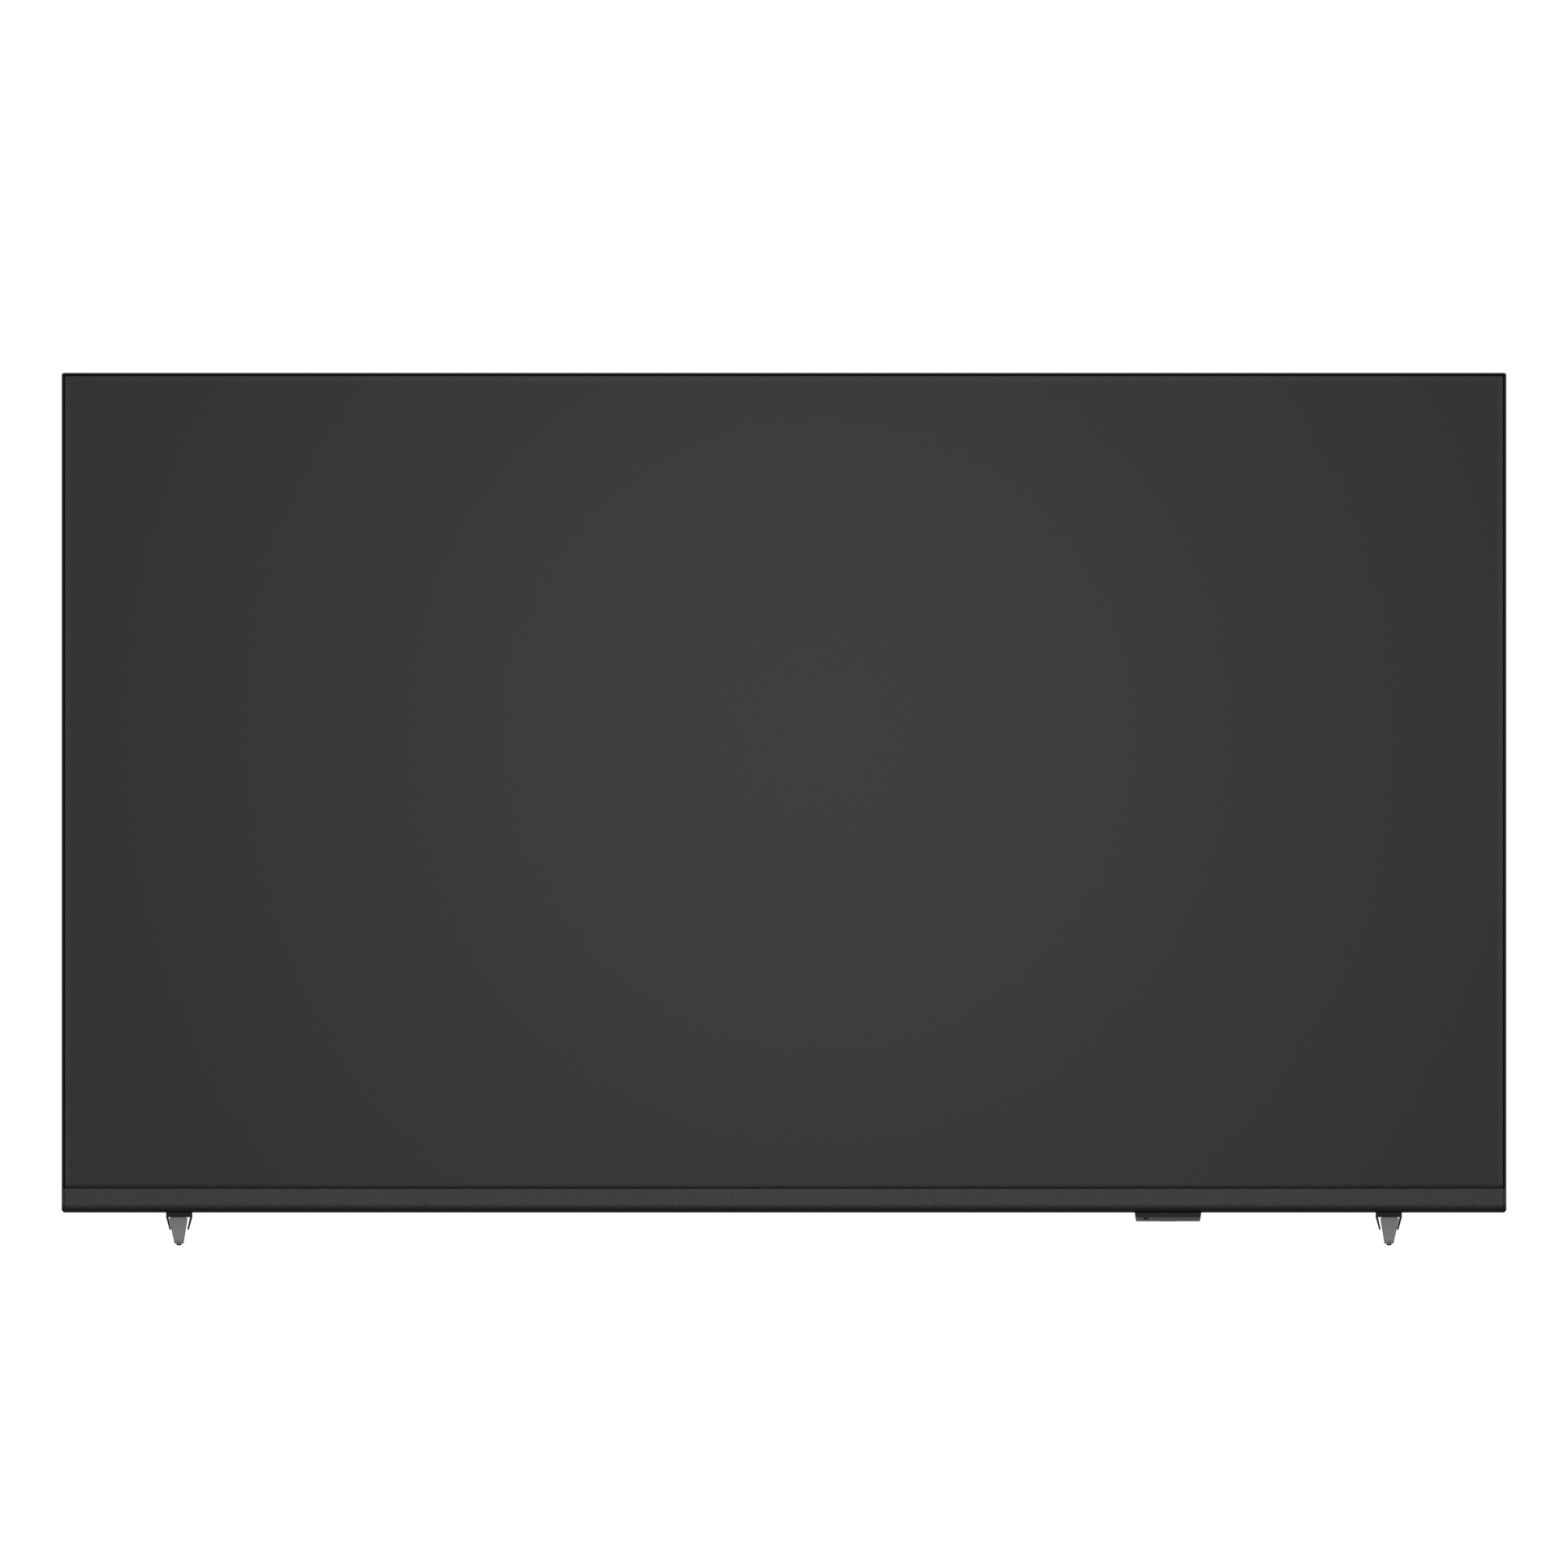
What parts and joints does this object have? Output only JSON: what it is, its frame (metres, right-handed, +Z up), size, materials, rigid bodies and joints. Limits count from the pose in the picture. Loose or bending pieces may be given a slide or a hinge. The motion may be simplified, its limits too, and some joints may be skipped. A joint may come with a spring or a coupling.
{
  "type": "digital signage display",
  "caption": "Flat wide-screen signage display with slim metal rails, a deeper bottom bezel, a sensor module under its edge, splayed arched feet and a rear wall-mount pattern.",
  "frame": {"origin": "on the table, under the middle of the display's bounding box", "axes": "+Z up, the screen faces -Y, +X to the right of someone who looks at the screen"},
  "size_m": [1.2268, 0.25, 0.7411],
  "materials": {
    "rail_metal": "satin grey powder coat",
    "bezel_plastic": "finely grained satin charcoal",
    "cap_plastic": "satin charcoal",
    "screen_film": "low haze anti-glare film",
    "cell_glass": "dark printed border",
    "plain_glass": "polished",
    "foam": "closed cell foam",
    "frame_plastic": "moulded, matt",
    "prism_film": "fine prisms",
    "white_film": "white, matt",
    "white_plastic": "white, moulded",
    "lens_acrylic": "polished",
    "led_board": "white lacquered",
    "zinc_steel": "hot dip zinc",
    "bright_steel": "zinc plated",
    "boss_steel": "turned, zinc plated",
    "board_green": "solder mask",
    "chip_black": "moulded epoxy",
    "capacitor_sleeve": "shrink sleeve",
    "transformer": "polyester tape",
    "sink_aluminium": "extruded, plain",
    "flex_film": "polyimide",
    "cable_white": "flat cable",
    "lead_plastic": "wire sleeve",
    "socket_shell": "nickel plated",
    "socket_plastic": "moulded",
    "inlet_plastic": "moulded, matt",
    "pin_brass": "nickel plated",
    "rocker_plastic": "semi-gloss",
    "cover_plastic": "textured black",
    "screw_black": "black zinc",
    "speaker_plastic": "moulded",
    "speaker_metal": "zinc and black paint",
    "cone_paper": "treated paper",
    "sensor_plastic": "satin black",
    "smoked_window": "smoked, polished",
    "light_pipe": "clear, unlit",
    "button_plastic": "satin black",
    "bracket_black": "black powder coat",
    "leg_aluminium": "grey satin coat",
    "pad_rubber": "soft, matt"
  },
  "bodies": {
    "display": {"back_pan": "zinc_steel", "bezel_end_caps": "cap_plastic", "board_screws": "bright_steel", "bottom_bezel": "bezel_plastic", "cell_cushions": "foam", "colour_filter_glass": "cell_glass", "cover_screws": "screw_black", "diffuser_film": "white_film", "diffuser_plate": "white_plastic", "diffuser_props": "white_plastic", "driver_flexes": "flex_film", "flat_cables": "cable_white", "foot_brackets": "bracket_black", "foot_pads": "pad_rubber", "foot_plates": "zinc_steel", "foot_screws": "screw_black", "front_polariser": "screen_film", "heat_sinks": "sink_aluminium", "inlet_pins": "pin_brass", "led_bars": "led_board", "led_lenses": "lens_acrylic", "left_leg": "leg_aluminium", "left_rail": "rail_metal", "main_board": "board_green", "main_board_parts": "chip_black", "mains_inlet": "inlet_plastic", "mains_leads": "lead_plastic", "middle_frame": "frame_plastic", "network_socket": "socket_plastic", "pan_posts": "bright_steel", "power_board": "board_green", "power_capacitors": "capacitor_sleeve", "power_transformers": "transformer", "prism_film": "prism_film", "rear_cover": "cover_plastic", "rear_polariser": "screen_film", "reflector_sheet": "white_film", "right_leg": "leg_aluminium", "right_rail": "rail_metal", "sensor_board": "board_green", "sensor_housing": "sensor_plastic", "sensor_window": "smoked_window", "signal_leads": "lead_plastic", "sound_sockets": "socket_plastic", "source_boards": "board_green", "speaker_boxes": "speaker_plastic", "speaker_drivers": "speaker_metal", "status_light": "light_pipe", "stiffening_channels": "zinc_steel", "switch_body": "inlet_plastic", "tft_glass": "plain_glass", "timing_board": "board_green", "top_rail": "rail_metal", "usb_sockets": "socket_shell", "video_sockets": "socket_shell", "wall_mount_bosses": "boss_steel"},
    "power_button": {"power_button": "button_plastic"},
    "switch_rocker": {"switch_rocker": "rocker_plastic"},
    "speaker_cone_left": {"speaker_cone_left": "cone_paper"},
    "speaker_cone_right": {"speaker_cone_right": "cone_paper"}
  },
  "joints": [
    {"name": "power_button_press", "type": "slide", "parent": "display", "child": "power_button", "axis": [0, 0, 1], "range_m": [0, 0.0008], "stiffness_N_per_m": 1200, "springref_m": -0.0004},
    {"name": "mains_switch_tilt", "type": "hinge", "parent": "display", "child": "switch_rocker", "pos_m": [-0.318, 0.016, 0.1938], "axis": [0, 1, 0], "range_deg": [0, 20]},
    {"name": "left_cone_stroke", "type": "slide", "parent": "display", "child": "speaker_cone_left", "axis": [0, 0, 1], "range_m": [-0.001, 0.001], "stiffness_N_per_m": 2000},
    {"name": "right_cone_stroke", "type": "slide", "parent": "display", "child": "speaker_cone_right", "axis": [0, 0, 1], "range_m": [-0.001, 0.001], "stiffness_N_per_m": 2000}
  ]
}
